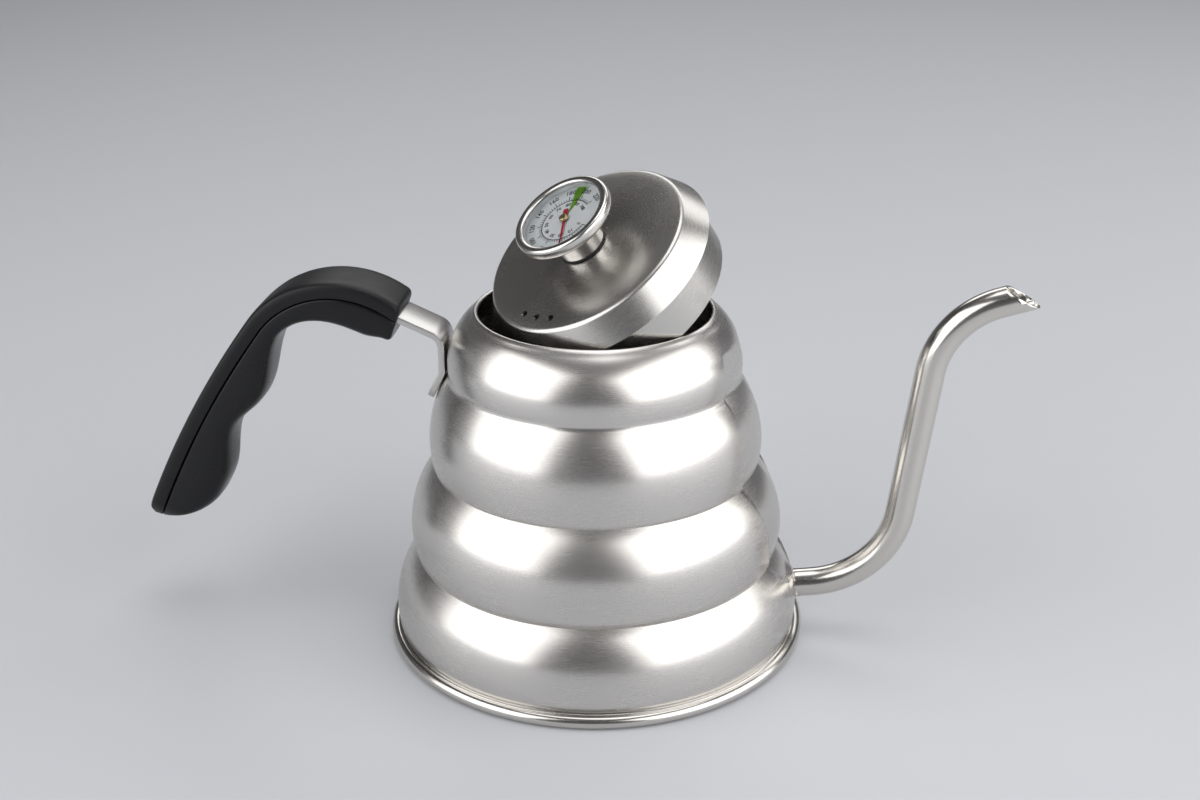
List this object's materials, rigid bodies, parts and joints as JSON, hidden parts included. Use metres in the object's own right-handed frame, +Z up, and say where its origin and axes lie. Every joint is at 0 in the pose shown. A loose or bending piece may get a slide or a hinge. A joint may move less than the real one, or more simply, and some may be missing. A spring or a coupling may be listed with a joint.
{
  "type": "gooseneck kettle",
  "caption": "Ribbed stainless gooseneck pouring kettle with a black grip and a dial thermometer in its loose lid.",
  "frame": {"origin": "centre of the base on the plane it stands on", "axes": "+Z up; +X from the body's axis towards the spout, so the handle is on -X; +Y towards the back when the spout points right"},
  "size_m": [0.3005, 0.144, 0.16],
  "materials": {
    "brushed_body": "satin brushed round the axis",
    "satin_base": "satin",
    "polished_spout": "polished with faint drawn lines",
    "satin_strap": "satin",
    "grip_satin": "satin black moulding",
    "grip_gloss": "soft gloss black moulding",
    "screw_steel": "machined",
    "brushed_lid": "satin brushed round the lid's axis",
    "black_rubber": "matte silicone",
    "polished_case": "polished steel",
    "dial_glass": "clear",
    "dial_face": "white printed plate",
    "bush_brass": "plain",
    "needle_red": "painted sheet"
  },
  "bodies": {
    "kettle": {"body_shell": "brushed_body", "base_pan": "satin_base", "spout_tube": "polished_spout", "spout_weld": "polished_spout", "handle_strap": "satin_strap", "grip_upper": "grip_satin", "grip_lower": "grip_gloss", "grip_screw_front": "screw_steel", "grip_screw_rear": "screw_steel"},
    "lid": {"lid_cover": "brushed_lid", "lid_skirt": "brushed_lid", "stem_grommet": "black_rubber", "grommet_washer": "screw_steel"},
    "thermometer": {"case_cup": "polished_case", "case_neck": "polished_case", "bezel_ring": "polished_case", "lens": "dial_glass", "lens_gasket": "black_rubber", "dial_plate": "dial_face", "stem_tube": "polished_case", "stem_tip": "polished_case", "upper_bush": "bush_brass", "lower_bush": "bush_brass", "bimetal_coil": "bush_brass"},
    "pointer": {"pointer_needle": "needle_red", "pointer_hub": "screw_steel", "pointer_shaft": "screw_steel"}
  },
  "joints": [
    {"name": "lid_lift", "type": "slide", "parent": "kettle", "child": "lid", "axis": [-0.2534, -0.2297, 0.9397], "range_m": [0, 0.13]},
    {"name": "thermometer_pull", "type": "slide", "parent": "lid", "child": "thermometer", "axis": [-0.4333, -0.3929, 0.8111], "range_m": [0, 0.11]},
    {"name": "pointer_turn", "type": "hinge", "parent": "thermometer", "child": "pointer", "pos_m": [0.0012, 0.00085, 0.13], "axis": [-0.4333, -0.3929, 0.8111], "range_deg": [-270, 30]}
  ]
}
